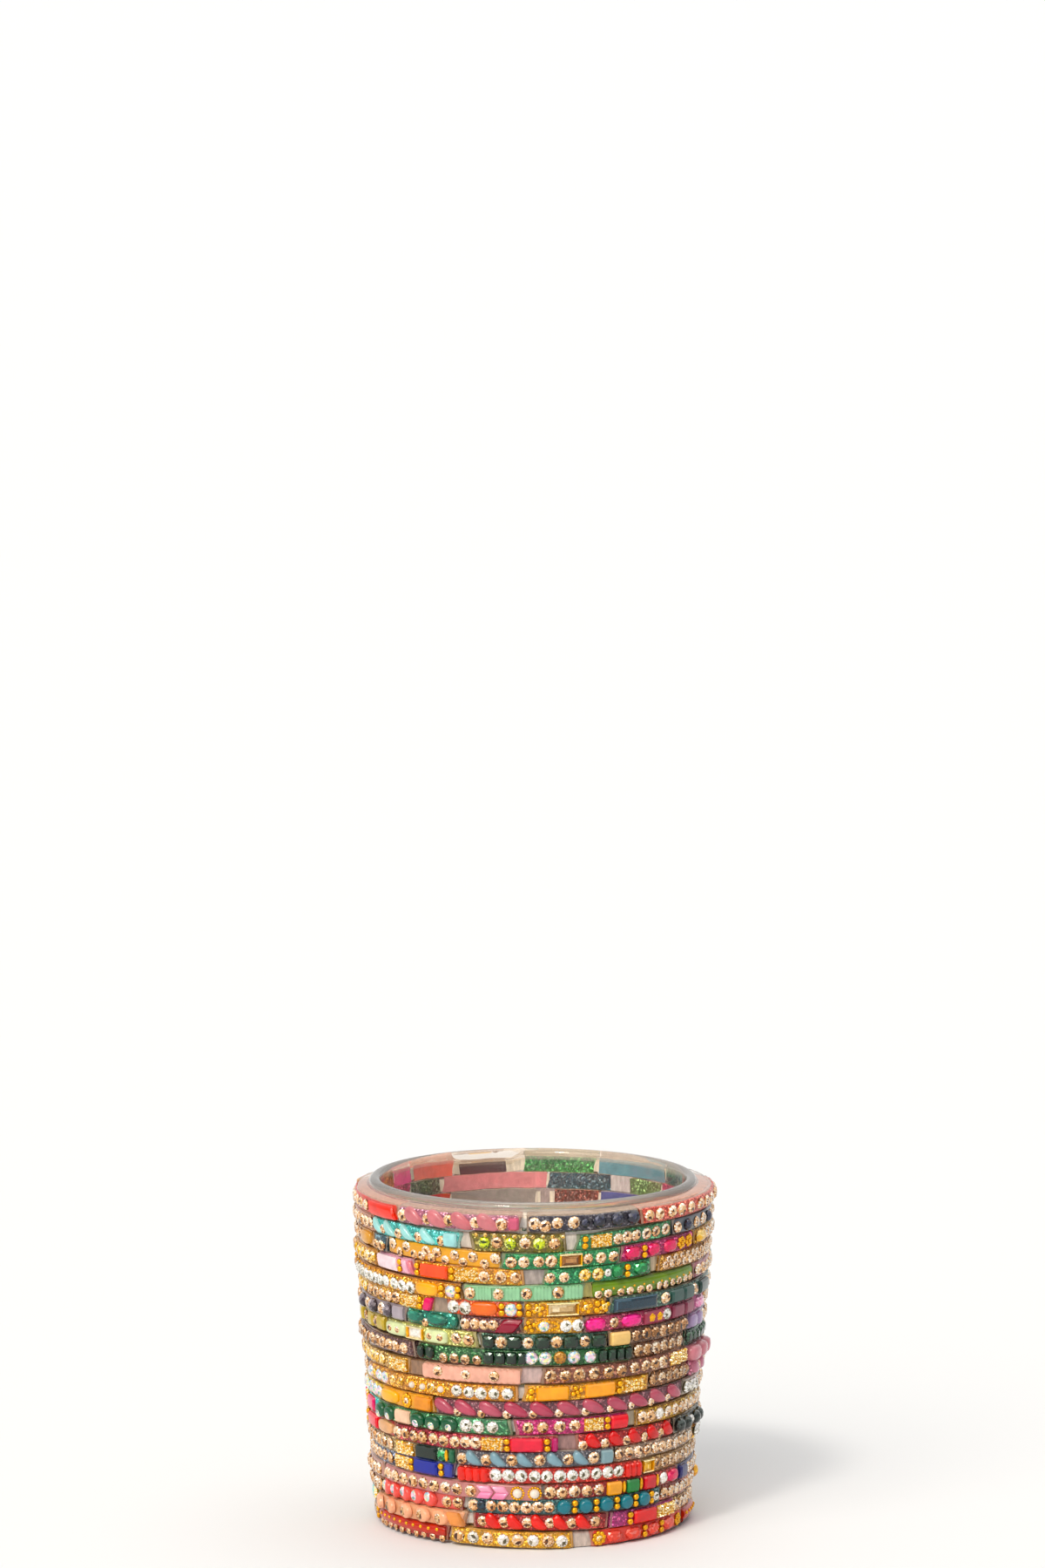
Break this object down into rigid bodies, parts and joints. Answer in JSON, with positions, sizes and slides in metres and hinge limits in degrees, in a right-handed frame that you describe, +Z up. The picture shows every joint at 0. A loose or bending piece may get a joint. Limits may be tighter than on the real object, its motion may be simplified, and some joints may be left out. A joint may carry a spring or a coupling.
{
  "type": "tealight holder",
  "caption": "Tapered clear glass tumbler for a tealight, covered outside with stacked rows of cut lac bangle arcs set with rhinestones, chips and gilt trim.",
  "frame": {"origin": "on the tumbler's axis, at the table under its foot", "axes": "+Z up along the tumbler's axis, -Y towards the front that the picture shows, +X to the right in that view"},
  "size_m": [0.0889, 0.0888, 0.086],
  "materials": {
    "clear_glass": "pressed and fire polished",
    "clear_resin": "cast bangle base and clear glue",
    "lac_red": "glossy lac with glitter",
    "lac_pink": "glossy lac with glitter",
    "lac_gold": "glossy lac with glitter",
    "lac_green": "glossy lac with glitter",
    "lac_blue": "glossy lac with glitter",
    "lac_brown": "glossy lac with glitter",
    "lac_mixed": "glossy lac in many colours",
    "cut_stones": "foil-backed cut glass",
    "gilt": "bright gilt"
  },
  "bodies": {
    "root": {"glass_tumbler": "clear_glass", "row_01_mauve_arc": "lac_pink", "row_01_navy_arc": "lac_blue", "row_01_back_run": "lac_mixed", "row_02_turquoise_arc": "lac_blue", "row_02_olive_arc": "lac_green", "row_02_back_run": "lac_mixed", "row_03_ochre_arc": "lac_gold", "row_03_green_arc": "lac_green", "row_03_back_run": "lac_mixed", "row_04_orange_arc": "lac_gold", "row_04_green_arc": "lac_green", "row_04_back_run": "lac_mixed", "row_05_seafoam_arc": "lac_green", "row_05_lime_arc": "lac_green", "row_05_back_run": "lac_mixed", "row_06_orange_red_arc": "lac_red", "row_06_gold_arc": "lac_gold", "row_06_back_run": "lac_mixed", "row_07_gold_arc": "lac_gold", "row_07_magenta_arc": "lac_pink", "row_07_back_run": "lac_mixed", "row_08_pistachio_arc": "lac_green", "row_08_dark_green_arc": "lac_green", "row_08_back_run": "lac_mixed", "row_09_dark_green_arc": "lac_green", "row_09_brown_arc": "lac_brown", "row_09_back_run": "lac_mixed", "row_10_peach_arc": "lac_pink", "row_10_brown_arc": "lac_brown", "row_10_back_run": "lac_mixed", "row_11_gold_glitter_arc": "lac_gold", "row_11_yellow_arc": "lac_gold", "row_11_back_run": "lac_mixed", "row_12_mauve_arc": "lac_pink", "row_12_back_run": "lac_mixed", "row_13_green_arc": "lac_green", "row_13_magenta_arc": "lac_pink", "row_13_back_run": "lac_mixed", "row_14_crimson_arc": "lac_red", "row_14_red_arc": "lac_red", "row_14_back_run": "lac_mixed", "row_15_dusty_blue_arc": "lac_blue", "row_15_champagne_arc": "lac_gold", "row_15_back_run": "lac_mixed", "row_16_navy_arc": "lac_blue", "row_16_red_arc": "lac_red", "row_16_back_run": "lac_mixed", "row_17_pink_arc": "lac_pink", "row_17_red_brown_arc": "lac_brown", "row_17_back_run": "lac_mixed", "row_18_coral_arc": "lac_red", "row_18_teal_arc": "lac_blue", "row_18_back_run": "lac_mixed", "row_19_peach_arc": "lac_pink", "row_19_red_arc": "lac_red", "row_19_back_run": "lac_mixed", "row_20_red_arc": "lac_red", "row_20_gold_arc": "lac_gold", "row_20_back_run": "lac_mixed"}
  },
  "joints": []
}
